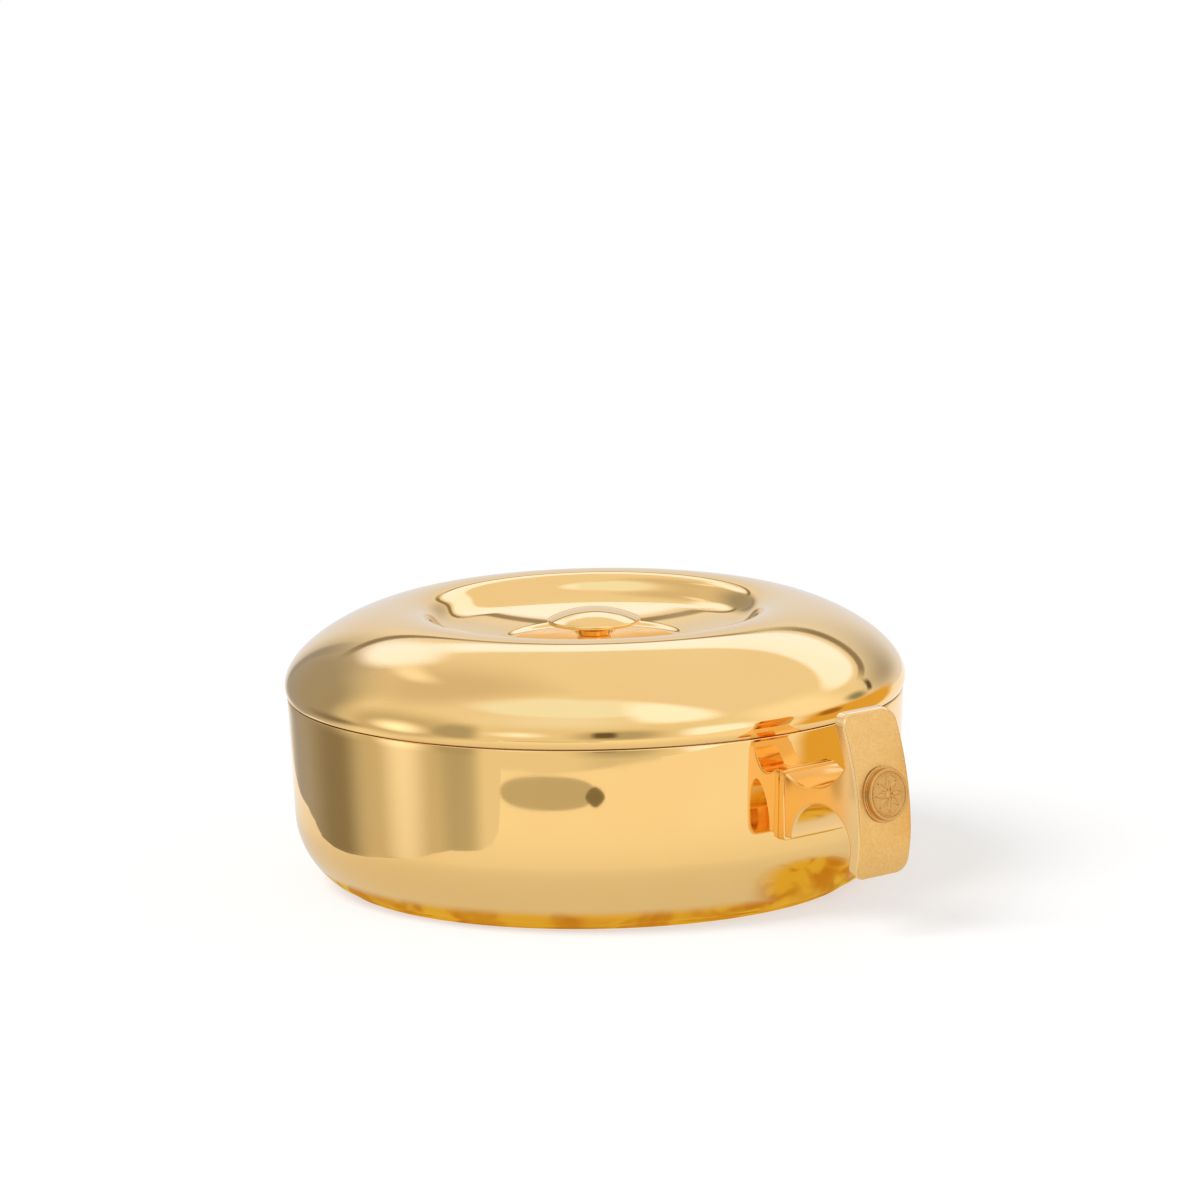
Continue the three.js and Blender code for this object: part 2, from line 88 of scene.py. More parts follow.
# Rounds the corner where one line ends and the next begins, and returns both with the arc between
def rounded(before, after, radius, steps=8):
    a, b = np.array(before, float), np.array(after, float)
    turn = np.cross(a[-1] - a[-2], b[1] - b[0])
    inward = -radius if turn > 0 else radius
    offA, offB = sideways(a, inward), sideways(b, inward)
    best = None
    for i in range(len(offA) - 1, 0, -1):
        p, r = offA[i - 1], offA[i] - offA[i - 1]
        for j in range(len(offB) - 1):
            q, s = offB[j], offB[j + 1] - offB[j]
            cross = np.cross(r, s)
            if abs(cross) < 1e-12:
                continue
            t, u = np.cross(q - p, s) / cross, np.cross(q - p, r) / cross
            if -1e-6 <= t <= 1 + 1e-6 and -1e-6 <= u <= 1 + 1e-6:
                best = (i, j, t, u)
                break
        if best:
            break
    i, j, t, u = best
    centre = offA[i - 1] + (offA[i] - offA[i - 1]) * t
    footA, footB = a[i - 1] + (a[i] - a[i - 1]) * t, b[j] + (b[j + 1] - b[j]) * u
    angleA = math.atan2(*(footA - centre)[::-1])
    angleB = math.atan2(*(footB - centre)[::-1])
    if turn > 0 and angleB < angleA:
        angleB += 2 * math.pi
    if turn < 0 and angleB > angleA:
        angleB -= 2 * math.pi
    bow = arc(centre, radius, math.degrees(angleA), math.degrees(angleB), steps)
    return [tuple(x) for x in a[:i]], bow, [tuple(x) for x in b[j + 1:]]


# Meshes
def newPiece(name, body, slotName, material, *nodes):
    made = bpy.data.objects.new(name, bpy.data.meshes.new(name))
    bpy.context.scene.collection.objects.link(made)
    made.location = (axisX * mm, 0, 0)
    made.data.materials.append(material)
    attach(made, body)
    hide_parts(*nodes)
    return made


def fill(made, vertices, faces, sharp=sharpAngle):
    mesh = made.data
    mesh.from_pydata([Vector(v) * mm for v in vertices], [], faces)
    shape = bmesh.new()
    shape.from_mesh(mesh)
    bmesh.ops.remove_doubles(shape, verts=shape.verts, dist=1e-7)
    bmesh.ops.recalc_face_normals(shape, faces=shape.faces)
    shape.to_mesh(mesh)
    shape.free()
    mesh.shade_smooth()
    mesh.set_sharp_from_angle(angle=sharp)
    return made


# Turns an outline round the axis; an outline that starts and ends on the axis closes there
def turned(outline, segments=turnSegments):
    vertices, rings, faces = [], [], []
    angles = np.linspace(0, 2 * math.pi, segments, endpoint=False)
    for r, z in outline:
        if r < 1e-6:
            rings.append([len(vertices)])
            vertices.append((0, 0, z))
            continue
        rings.append(list(range(len(vertices), len(vertices) + segments)))
        vertices += [(r * math.cos(a), r * math.sin(a), z) for a in angles]
    onAxis = outline[0][0] < 1e-6
    pairs = list(zip(rings, rings[1:])) + ([] if onAxis else [(rings[-1], rings[0])])
    for low, high in pairs:
        for i in range(segments):
            k = (i + 1) % segments
            if len(low) == 1 and len(high) == 1:
                continue
            if len(low) == 1:
                faces.append((low[0], high[k], high[i]))
            elif len(high) == 1:
                faces.append((low[i], low[k], high[0]))
            else:
                faces.append((low[i], low[k], high[k], high[i]))
    return vertices, faces


# Materials
def linear(code):
    parts = [int(code[i:i + 2], 16) / 255 for i in (1, 3, 5)]
    return [c / 12.92 if c <= 0.04045 else ((c + 0.055) / 1.055) ** 2.4 for c in parts] + [1]


def addNode(tree, kind, values={}, links={}, **settings):
    node = tree.nodes.new(kind)
    for key, value in settings.items():
        setattr(node, key, value)
    for key, value in values.items():
        node.inputs[key].default_value = value
    for key, source in links.items():
        tree.links.new(source, node.inputs[key])
    return node


def emptyMaterial(name):
    material = bpy.data.materials.new(name)
    material.use_nodes = True
    material.node_tree.nodes.clear()
    return material, material.node_tree


plate = {
    "tone": "#FCD58E", "deepTone": "#FACF83",
    "smoothest": 0.03, "roughest": 0.055, "smudge": 9.0,
    "lineSpacing": 0.5, "lineDepth": 0.0004,
    "waveLength": 26.0, "waveDepth": 0.006,
}


# Bright gold plate over spun brass, buffed on a wheel: a mirror that shows the room, with
# buffing lines that run round the axis and the slow waves that spinning leaves. Real buffing
# lines are some 0.05 mm apart, and are drawn coarser here so that they show
def polishedGold(name, look):
    material, tree = emptyMaterial(name)
    place = addNode(tree, "ShaderNodeTexCoord")
    split = addNode(tree, "ShaderNodeSeparateXYZ", links={0: place.outputs["Object"]})
    squareX = addNode(tree, "ShaderNodeMath", operation="POWER", values={1: 2.0},
                      links={0: split.outputs["X"]})
    radius = addNode(tree, "ShaderNodeMath", operation="MULTIPLY_ADD",
                     links={0: split.outputs["Y"], 1: split.outputs["Y"], 2: squareX.outputs[0]})
    radius = addNode(tree, "ShaderNodeMath", operation="SQRT", links={0: radius.outputs[0]})
    rings = addNode(tree, "ShaderNodeCombineXYZ",
                    links={"X": radius.outputs[0], "Y": split.outputs["Z"]})
    lines = addNode(tree, "ShaderNodeTexNoise", noise_dimensions="3D",
                    values={"Scale": 1 / (look["lineSpacing"] * mm), "Detail": 2.0},
                    links={"Vector": rings.outputs[0]})
    waves = addNode(tree, "ShaderNodeTexNoise",
                    values={"Scale": 1 / (look["waveLength"] * mm), "Detail": 1.0},
                    links={"Vector": place.outputs["Object"]})
    smudges = addNode(tree, "ShaderNodeTexNoise",
                      values={"Scale": 1 / (look["smudge"] * mm), "Detail": 3.0,
                              "Roughness": 0.6},
                      links={"Vector": place.outputs["Object"]})
    rough = addNode(tree, "ShaderNodeMapRange",
                    values={"From Min": 0.35, "From Max": 0.75, "To Min": look["smoothest"],
                            "To Max": look["roughest"]},
                    links={"Value": smudges.outputs[0]})
    tone = addNode(tree, "ShaderNodeMix", data_type="RGBA",
                   values={6: linear(look["tone"]), 7: linear(look["deepTone"])},
                   links={0: waves.outputs[0]})
    slow = addNode(tree, "ShaderNodeBump",
                   values={"Strength": 1.0, "Distance": look["waveDepth"] * mm},
                   links={"Height": waves.outputs[0]})
    fine = addNode(tree, "ShaderNodeBump",
                   values={"Strength": 1.0, "Distance": look["lineDepth"] * mm},
                   links={"Height": lines.outputs[0], "Normal": slow.outputs[0]})
    surface = addNode(tree, "ShaderNodeBsdfPrincipled", values={"Metallic": 1.0},
                      links={"Base Color": tone.outputs[2], "Roughness": rough.outputs[0],
                             "Normal": fine.outputs[0]})
    addNode(tree, "ShaderNodeOutputMaterial", links={"Surface": surface.outputs[0]})
    return material


# Satin only on faces that look outward and lie further out than satinFrom, unless leastSatin is 1
casting = {
    "tone": "#FCD58E", "deepTone": "#DDA653", "sideTone": "#FFD693",
    "smoothest": 0.28, "roughest": 0.42, "patch": 4.0, "sideRoughness": 0.1,
    "grain": 0.7, "grainDepth": 0.03, "sideGrain": 0.04, "satinFrom": 95.0, "leastSatin": 0.0,
}
# The medallion is struck, not cast: satin all over, finer in the grain and darker
medal = {
    **casting, "tone": "#F2C87E", "deepTone": "#BC8238", "smoothest": 0.2, "roughest": 0.34,
    "grain": 0.4, "leastSatin": 1.0,
}


# Gold plate over a sand-finished casting: the outer face is blasted to a fine grain that spreads
# the light, and the rest is dressed with a file and a soft wheel, so it shines. The grain is
# really about 0.3 mm, and is drawn coarser here so that it shows
def satinGold(name, look):
    material, tree = emptyMaterial(name)
    place = addNode(tree, "ShaderNodeTexCoord")
    grain = addNode(tree, "ShaderNodeTexNoise",
                    values={"Scale": 1 / (look["grain"] * mm), "Detail": 4.0, "Roughness": 0.65},
                    links={"Vector": place.outputs["Object"]})
    patches = addNode(tree, "ShaderNodeTexNoise",
                      values={"Scale": 1 / (look["patch"] * mm), "Detail": 2.0},
                      links={"Vector": place.outputs["Object"]})
    facing = addNode(tree, "ShaderNodeSeparateXYZ", links={0: place.outputs["Normal"]})
    placed = addNode(tree, "ShaderNodeSeparateXYZ", links={0: place.outputs["Object"]})
    outward = addNode(tree, "ShaderNodeMapRange", interpolation_type="SMOOTHSTEP",
                      values={"From Min": 0.5, "From Max": 0.8},
                      links={"Value": facing.outputs["X"]})
    beyond = addNode(tree, "ShaderNodeMath", operation="GREATER_THAN",
                     values={1: look["satinFrom"] * mm}, links={0: placed.outputs["X"]})
    faces = addNode(tree, "ShaderNodeMath", operation="MULTIPLY",
                    links={0: outward.outputs[0], 1: beyond.outputs[0]})
    satin = addNode(tree, "ShaderNodeMath", operation="MAXIMUM", values={1: look["leastSatin"]},
                    links={0: faces.outputs[0]})
    side = addNode(tree, "ShaderNodeMath", operation="SUBTRACT", values={0: 1.0},
                   links={1: satin.outputs[0]})
    rough = addNode(tree, "ShaderNodeMapRange",
                    values={"From Min": 0.3, "From Max": 0.7, "To Min": look["smoothest"],
                            "To Max": look["roughest"]},
                    links={"Value": patches.outputs[0]})
    finish = addNode(tree, "ShaderNodeMix", values={3: look["sideRoughness"]},
                     links={0: side.outputs[0], 2: rough.outputs[0]})
    front = addNode(tree, "ShaderNodeMix", data_type="RGBA",
                    values={6: linear(look["deepTone"]), 7: linear(look["tone"])},
                    links={0: grain.outputs[0]})
    tone = addNode(tree, "ShaderNodeMix", data_type="RGBA", values={7: linear(look["sideTone"])},
                   links={0: side.outputs[0], 6: front.outputs[2]})
    depth = addNode(tree, "ShaderNodeMapRange",
                    values={"To Min": 1.0, "To Max": look["sideGrain"]},
                    links={"Value": side.outputs[0]})
    bumps = addNode(tree, "ShaderNodeBump", values={"Distance": look["grainDepth"] * mm},
                    links={"Height": grain.outputs[0], "Strength": depth.outputs[0]})
    surface = addNode(tree, "ShaderNodeBsdfPrincipled", values={"Metallic": 1.0},
                      links={"Base Color": tone.outputs[2], "Roughness": finish.outputs[0],
                             "Normal": bumps.outputs[0]})
    addNode(tree, "ShaderNodeOutputMaterial", links={"Surface": surface.outputs[0]})
    return material


plainSteel = {
    "tone": "#C9CACB", "smoothest": 0.22, "roughest": 0.36, "lineSpacing": 0.3, "lineDepth": 0.004,
}


# Stainless steel, turned: grey and half bright, with fine tool marks
def turnedSteel(name, look):
    material, tree = emptyMaterial(name)
    place = addNode(tree, "ShaderNodeTexCoord")
    lines = addNode(tree, "ShaderNodeTexNoise",
                    values={"Scale": 1 / (look["lineSpacing"] * mm), "Detail": 2.0},
                    links={"Vector": place.outputs["Object"]})
    rough = addNode(tree, "ShaderNodeMapRange",
                    values={"From Min": 0.3, "From Max": 0.7, "To Min": look["smoothest"],
                            "To Max": look["roughest"]},
                    links={"Value": lines.outputs[0]})
    bumps = addNode(tree, "ShaderNodeBump", values={"Distance": look["lineDepth"] * mm},
                    links={"Height": lines.outputs[0]})
    surface = addNode(tree, "ShaderNodeBsdfPrincipled",
                      values={"Base Color": linear(look["tone"]), "Metallic": 1.0},
                      links={"Roughness": rough.outputs[0], "Normal": bumps.outputs[0]})
    addNode(tree, "ShaderNodeOutputMaterial", links={"Surface": surface.outputs[0]})
    return material


plateGold = polishedGold("polished_gold_plate_on_brass", plate)
castGold = satinGold("satin_gold_plate_on_cast_brass", casting)
struckGold = satinGold("satin_gold_plate_on_struck_brass", medal)
steel = turnedSteel("turned_stainless_steel", plainSteel)
print("materials made")

bowlSizes = {
    "mouth": 81.9, "height": 50.2, "flare": 1.4, "wall": 1.2, "rim": 0.4,
    "curve": 22.0, "curveEnd": 2.2, "hem": 2.93, "hemRoll": 1.1, "seat": 0.3,
    "floorBlend": 38.0, "floorFillet": 6.5, "floor": 3.6,
}
footSizes = {"inset": 12.3, "width": 2.6, "edge": 0.6}
b, f = bowlSizes, footSizes
bowlWaist = b["mouth"] - b["flare"]
footOuter = bowlWaist - f["inset"]
bowlCentre = bowlWaist - b["curve"]
bowlSweep = math.degrees(math.acos((footOuter + b["seat"] + b["hem"] - bowlCentre) / b["curve"]))
bowlWaistZ = b["curveEnd"] + b["curve"] * math.sin(math.radians(bowlSweep))


# The bowl's radius at a height on its flared side
def bowlSide(z):
    share = (z - bowlWaistZ) / (b["height"] - b["rim"] - bowlWaistZ)
    return bowlWaist + b["flare"] * share


def bowlOutline():
    turnIn = footOuter + b["seat"]
    mouth, top, rim, inside = b["mouth"], b["height"], b["rim"], b["mouth"] - b["wall"]
    lean = math.degrees(math.atan(b["flare"] / (top - rim - bowlWaistZ)))
    outerCurve = arc((bowlCentre, bowlWaistZ), b["curve"], -bowlSweep, -lean, 60)
    hem = curve([(turnIn, b["curveEnd"]), (turnIn + b["hemRoll"], b["curveEnd"] - b["hemRoll"]),
                 outerCurve[0]], 12)
    innerCurve = arc((bowlCentre, bowlWaistZ), b["curve"] - b["wall"], 0, -b["floorBlend"], 40)
    floorZ = b["floor"] + b["wall"]
    start = innerCurve[-1]
    corner = (start[0] - (start[1] - floorZ) * math.tan(math.radians(b["floorBlend"])), floorZ)
    end = (corner[0] - b["floorFillet"], floorZ)
    return joined(
        curve([(0, b["floor"]), (turnIn, b["floor"])], 12),
        hem, outerCurve,
        curve([outerCurve[-1], (mouth, top - rim)], 16),
        arc((mouth - rim, top - rim), rim, 0, 90, 6),
        arc((inside + rim, top - rim), rim, 90, 180, 6),
        curve([(inside, top - rim), (bowlWaist - b["wall"], bowlWaistZ)], 16),
        innerCurve, curve([start, corner, end], 20),
        curve([end, (0, floorZ)], 16))


bowl = newPiece("bowl_spun", "bowl_body", "polished_gold_plate", plateGold, "bowl")
fill(bowl, *turned(bowlOutline()))

footInner = footOuter - f["width"]
foot = newPiece("foot_ring_turned", "bowl_body", "polished_gold_plate", plateGold, "foot_ring")
fill(foot, *turned(joined(
    arc((footOuter - f["edge"], f["edge"]), f["edge"], -90, 0, 10),
    curve([(footOuter, f["edge"]), (footOuter, b["floor"])], 4),
    curve([(footOuter, b["floor"]), (footInner, b["floor"])], 2),
    curve([(footInner, b["floor"]), (footInner, f["edge"])], 4),
    arc((footInner + f["edge"], f["edge"]), f["edge"], 180, 270, 10))))
print("bowl and foot made")

lidSizes = {
    "overhang": 0.6, "wall": 1.2, "lip": 2.7, "lipTuck": 0.7, "rise": 19.9,
    "crestInset": 31.7, "dome": 9.2, "crown": 12.0, "shoulder": 9.0, "well": 13.8,
    "dishRadius": 145.0, "dishShoulder": 8.0, "dishDepth": 11.6, "hole": 2.8,
    "panel": 23.0, "panelEdge": 3.4, "panelRadius": 250.0, "panelLift": 0.3,
}
d = lidSizes
lidRadius = b["mouth"] + d["overhang"]
lipZ = b["height"] + b["seat"]
widestZ = lipZ + d["lip"]
crestR, crestZ = lidRadius - d["crestInset"], widestZ + d["rise"]
dishR, dishZ = crestR - d["well"], crestZ - d["dishDepth"]


# The dish's height at a radius: a shallow part of a sphere
def dishHeight(r):
    return dishZ + d["dishRadius"] - math.sqrt(d["dishRadius"] ** 2 - r ** 2)


# The flatter round panel that the knob stands on, pressed into the dish
def panelHeight(r):
    return dishZ + d["panelLift"] + d["panelRadius"] - math.sqrt(d["panelRadius"] ** 2 - r ** 2)


def panelOutline():
    low, high, half = d["panel"], d["panel"] + d["panelEdge"], d["panelEdge"] / 2
    steep = high / d["dishRadius"]
    return joined(
        curve([(high, dishHeight(high)), (high - half, dishHeight(high) - half * steep),
               (low + half, panelHeight(low + half)), (low, panelHeight(low))], 14),
        [(r, panelHeight(r)) for r in (18, 14, 10, 6, d["hole"])])


def lidOutline():
    slope = math.asin(dishR / d["dishRadius"])
    edge = (dishR, dishHeight(dishR))
    rim = math.degrees(math.asin((d["panel"] + d["panelEdge"]) / d["dishRadius"]))
    outer = joined(
        curve([(lidRadius - d["lipTuck"], lipZ), (lidRadius, lipZ + d["lip"] / 2),
               (lidRadius, widestZ)], 12),
        curve([(lidRadius, widestZ), (lidRadius, widestZ + d["dome"]),
               (crestR + d["crown"], crestZ), (crestR, crestZ)], 66),
        curve([(crestR, crestZ), (crestR - d["shoulder"], crestZ),
               (edge[0] + d["dishShoulder"] * math.cos(slope),
                edge[1] + d["dishShoulder"] * math.sin(slope)), edge], 50),
        arc((0, dishZ + d["dishRadius"]), d["dishRadius"], -90 + math.degrees(slope),
            -90 + rim, 20),
        panelOutline())
    inner = [tuple(p) for p in sideways(outer, -d["wall"])]
    inner[0] = (lidRadius - d["lipTuck"] - d["wall"], lipZ)
    inner[-1] = (d["hole"], panelHeight(d["hole"]) - d["wall"])
    return joined(outer, inner[::-1])


lid = newPiece("lid_spun", "lid_body", "polished_gold_plate", plateGold, "lid")
fill(lid, *turned(lidOutline()))

ringSizes = {"slide": 0.45, "wall": 1.2, "drop": 5.8, "rise": 4.6, "lead": 0.5}
r = ringSizes
ringOuter = b["mouth"] - b["wall"] - r["slide"]
ringInner = ringOuter - r["wall"]
ringLow, ringHigh = b["height"] - r["drop"], b["height"] + r["rise"]
ring = newPiece("lid_locating_ring_rolled", "lid_body", "polished_gold_plate", plateGold,
                "lid_locating_ring")
fill(ring, *turned(joined(
    curve([(ringInner, ringHigh), (ringInner, ringLow)], 6),
    curve([(ringInner, ringLow), (ringOuter - r["lead"], ringLow)], 2),
    curve([(ringOuter - r["lead"], ringLow), (ringOuter, ringLow),
           (ringOuter, ringLow + r["lead"])], 6),
    curve([(ringOuter, ringLow + r["lead"]), (ringOuter, ringHigh)], 6),
    curve([(ringOuter, ringHigh), (ringInner, ringHigh)], 2))))

knobSizes = {
    "radius": 12.4, "belowCrest": 0.9, "dome": 3.0, "rim": 0.9, "bevel": 0.3,
    "neck": 4.4, "underside": 3.4, "flareStart": 1.4, "flareEnd": 4.0, "flareDip": 0.6,
    "base": 6.0, "baseEdge": 0.4, "baseFillet": 1.0, "baseBevel": 0.1, "stud": 5.0,
    "flareIn": 1.0, "rimHold": 0.05, "rimTuck": 0.5, "rimLift": 0.24, "domeStart": 1.6,
}


def knobOutline(k):
    top = crestZ - k["belowCrest"]
    rimZ = top - k["dome"]
    lowRim = rimZ - k["rim"]
    neckZ = lowRim - k["underside"]
    baseZ = dishHeight(k["base"]) + b["seat"]
    domeRadius = (k["radius"] ** 2 + k["dome"] ** 2) / (2 * k["dome"])
    span = math.degrees(math.asin(k["radius"] / domeRadius))
    return joined(
        [(0, dishZ + k["stud"] + b["seat"]), (d["hole"], dishZ + k["stud"] + b["seat"])],
        [(d["hole"], baseZ), (k["base"] - k["baseBevel"], baseZ),
         (k["base"], baseZ + k["baseBevel"])],
        curve([(k["base"], baseZ + k["baseEdge"]), (k["neck"], baseZ + k["baseFillet"]),
               (k["neck"], neckZ)], 16),
        curve([(k["neck"], neckZ), (k["neck"] + k["flareIn"], neckZ + k["flareStart"]),
               (k["radius"] - k["flareEnd"], lowRim - k["flareDip"]),
               (k["radius"] - k["bevel"], lowRim)], 30),
        curve([(k["radius"] - k["bevel"], lowRim), (k["radius"], lowRim),
               (k["radius"], lowRim + k["rim"] / 2)], 8),
        curve([(k["radius"], lowRim + k["rim"] / 2), (k["radius"], rimZ + k["rimHold"]),
               (k["radius"] - k["rimTuck"], rimZ + k["rimLift"])], 8),
        arc((0, top - domeRadius), domeRadius, 90 - span + k["domeStart"], 90, 40))


knob = newPiece("knob_turned", "lid_body", "polished_gold_plate", plateGold, "knob")
fill(knob, *turned(knobOutline(knobSizes), 192))
print("lid and knob made")

handleSizes = {
    "width": 18.6, "reach": 28.3, "bulge": 28.0, "upperRadius": 76.0, "lowerRadius": 37.0,
    "thickness": 3.6, "top": 58.6, "bottom": 15.2, "corner": 3.5, "edge": 0.6,
    "endRound": 0.85, "topRound": 1.3, "hold": 0.06, "web": 35.9, "waist": 4.2, "rootRise": 3.0,
    "rootDrop": 10.5, "scallopInset": 9.4, "lowerScallop": 10.6, "fillet": 1.2, "rootRound": 0.7,
}
saddleSizes = {"thickness": 1.1, "gap": 0.05, "drop": 0.9, "corner": 0.8}
h = handleSizes
rootTop = h["web"] + h["waist"] / 2 + h["rootRise"]
rootBottom = h["web"] - h["waist"] / 2 - h["rootDrop"]
rootFace = bowlSide(rootTop) + saddleSizes["thickness"]
strapReach = rootFace + h["reach"]
upperCentre = strapReach - h["upperRadius"]
lowerCentre = strapReach - h["lowerRadius"]


# How far out the strap's surface is at a height, at a depth under the front
def strapOut(z, depth):
    radius, centre = ((h["upperRadius"], upperCentre) if z > h["bulge"]
                      else (h["lowerRadius"], lowerCentre))
    return centre + math.sqrt((radius - depth) ** 2 - (z - h["bulge"]) ** 2)


# The strap's corners are round seen from the front. Each point here is (out, up, half the width,
# which way the corner faces across and up, the way in from the edge, the edge's rounding, depth)
def strapEnd(high):
    corner, thick, way = h["corner"], h["thickness"], 1 if high else -1
    lowTurn = math.asin((h["bottom"] - h["bulge"]) / h["lowerRadius"])
    backLow = h["bulge"] + (h["lowerRadius"] - thick) * math.sin(lowTurn)
    tips = {0: h["top"] if high else h["bottom"], thick: h["top"] if high else backLow}
    runs = []
    for depth, tip in tips.items():
        other = thick - depth
        across = Vector((strapOut(tips[other], other) - strapOut(tip, depth), tips[other] - tip))
        centre = upperCentre if high else lowerCentre
        run = []
        for a in np.linspace(0, math.pi / 2, 13):
            z = tip - way * corner * (1 - math.sin(a))
            out, share = strapOut(z, depth), math.sin(a) ** 2
            inward = Vector((centre - out, h["bulge"] - z)).normalized() * (-1 if depth else 1)
            inward = inward.lerp(across.normalized(), share).normalized()
            softness = h["topRound"] if high and not depth else h["endRound"]
            run.append((out, z, h["width"] / 2 - corner * (1 - math.cos(a)), math.cos(a),
                        way * math.sin(a), inward.x, inward.y,
                        h["edge"] + (softness - h["edge"]) * share, depth))
        runs.append(run)
    return runs[0] + runs[1][::-1] if high else runs[1] + runs[0][::-1]


# Outline of the casting in the XZ plane, walked with the metal on the left
def handleOutline():
    thick = h["thickness"]
    innerRadius = h["lowerRadius"] - thick
    upperR = (h["scallopInset"] ** 2 + h["rootRise"] ** 2) / (2 * h["rootRise"])
    upperMid = (rootFace + h["scallopInset"], h["web"] + h["waist"] / 2 + upperR)
    lowerR, lowerZ = h["lowerScallop"], h["web"] - h["waist"] / 2 - h["lowerScallop"]
    touch = lowerCentre + math.sqrt(innerRadius ** 2 - (lowerZ - h["bulge"]) ** 2)
    lowerMid = (touch - lowerR, lowerZ)
    rootEnd = lowerMid[0] - math.sqrt(lowerR ** 2 - (rootBottom - lowerZ) ** 2)
    start = math.degrees(math.atan2(rootBottom - lowerZ, rootEnd - lowerMid[0])) % 360
    highEnd, lowEnd = strapEnd(True), strapEnd(False)
    backUp = [(strapOut(z, thick), z) for z in np.linspace(highEnd[-1][1] - 0.3, h["bulge"], 400)]
    while math.dist(backUp[-1], upperMid) >= upperR:
        backUp.pop()
    meet, last = [math.degrees(math.atan2(p[1] - upperMid[1], p[0] - upperMid[0]))
                  for p in (backUp[-1], (rootFace, rootTop))]
    face = curve([(rootFace, rootTop), (rootFace, rootBottom)], 60)
    bottom = curve([(rootFace, rootBottom), (rootEnd, rootBottom)], 40)
    face, lowCorner, bottom = rounded(face, bottom, h["rootRound"])
    bottom, scallopCorner, lower = rounded(bottom, arc(lowerMid, lowerR, start, 0, 160),
                                           h["rootRound"])
    back, fillet, upper = rounded(backUp, arc(upperMid, upperR, meet, last, 200), h["fillet"])
    upper, rootCorner, face = rounded(upper, face, h["rootRound"])
    return [
        joined(lowCorner, bottom[::4], scallopCorner, lower[::3],
               [(strapOut(z, thick), z) for z in np.linspace(lowerZ, lowEnd[0][1] + 0.3, 12)][1:]),
        lowEnd,
        [(strapOut(z, 0), z) for z in np.linspace(lowEnd[-1][1] + 0.3, highEnd[0][1] - 0.3, 90)],
        highEnd,
        joined(back[::6], fillet, upper[::4], rootCorner, face[::4])]


def castHandle():
    parts = handleOutline()
    flat = np.array([p[:2] for part in parts for p in part])
    steps = np.roll(flat, -1, 0) - flat
    steps /= np.linalg.norm(steps, axis=1)[:, None]
    along = steps + np.roll(steps, 1, 0)
    along /= np.linalg.norm(along, axis=1)[:, None]
    points = [p if len(p) > 2 else (*p, h["width"] / 2, 1, 0, -t[1], t[0], h["edge"], None)
              for p, t in zip([p for part in parts for p in part], along)]
    # Rows run round the outline, from one side face to the other, and round each edge over
    turns = np.linspace(0, math.pi / 2, 7)
    rings = [(1 - math.cos(a), 1 - math.sin(a), 0) for a in turns] + [(1, 0, h["hold"])]
    vertices = []
    for side, order in ((-1, rings[::-1]), (1, rings)):
        for inset, drawIn, more in order:
            for out, z, half, faceY, faceZ, inX, inZ, soft, depth in points:
                z -= drawIn * soft * faceZ
                out = out if depth is None else strapOut(z, depth)
                inward = inset * soft + more
                vertices.append((out + inX * inward, side * (half - drawIn * soft * faceY),
                                 z + inZ * inward))
    n, last = len(points), 2 * len(rings) - 1
    starts = np.cumsum([0] + [len(part) for part in parts])
    tips = [starts[k] + len(parts[k]) // 2 - 1 for k in (1, 3)]
    faces = [(r * n + i, r * n + (i + 1) % n, (r + 1) * n + (i + 1) % n, (r + 1) * n + i)
             for r in range(last) for i in range(n) if i not in tips]
    # Across the strap's two ends the rows join each other from side to side
    for tip in tips:
        for i in (tip, tip + 1):
            faces += [(r * n + i, (r + 1) * n + i, (last - r - 1) * n + i, (last - r) * n + i)
                      for r in range(len(rings) - 1)]
        faces.append((tip, tip + 1, last * n + tip + 1, last * n + tip))
    # The two side faces: quads in the strap's ends, and one face for the rest
    for first in (0, last * n):
        middle = [first + i for i in range(n)]
        for k in (1, 3):
            low, high = starts[k], starts[k + 1] - 1
            faces += [tuple(first + j for j in (low + i, low + i + 1, high - i - 1, high - i))
                      for i in range((high - low + 1) // 2 - 1)]
        for k in (3, 1):
            del middle[starts[k] + 1:starts[k + 1] - 1]
        faces.append(tuple(middle))
    return vertices, faces


handle = newPiece("handle_cast", "bowl_body", "satin_gold_casting", castGold, "handle")
fill(handle, *castHandle())
print("handle made")


# A rectangle with round corners, in (across, up)
def roundedOutline(halfWidth, low, high, radius, steps=10):
    corners = [(halfWidth - radius, low + radius, -90), (halfWidth - radius, high - radius, 0),
               (radius - halfWidth, high - radius, 90), (radius - halfWidth, low + radius, 180)]
    points = []
    for y, z, start in corners:
        points += arc((y, z), radius, start, start + 90, steps)
    return joined(*[curve([points[i], points[(i + 1) % len(points)]], 8)[:-1]
                    if math.dist(points[i], points[(i + 1) % len(points)]) > radius
                    else [points[i]] for i in range(len(points))])


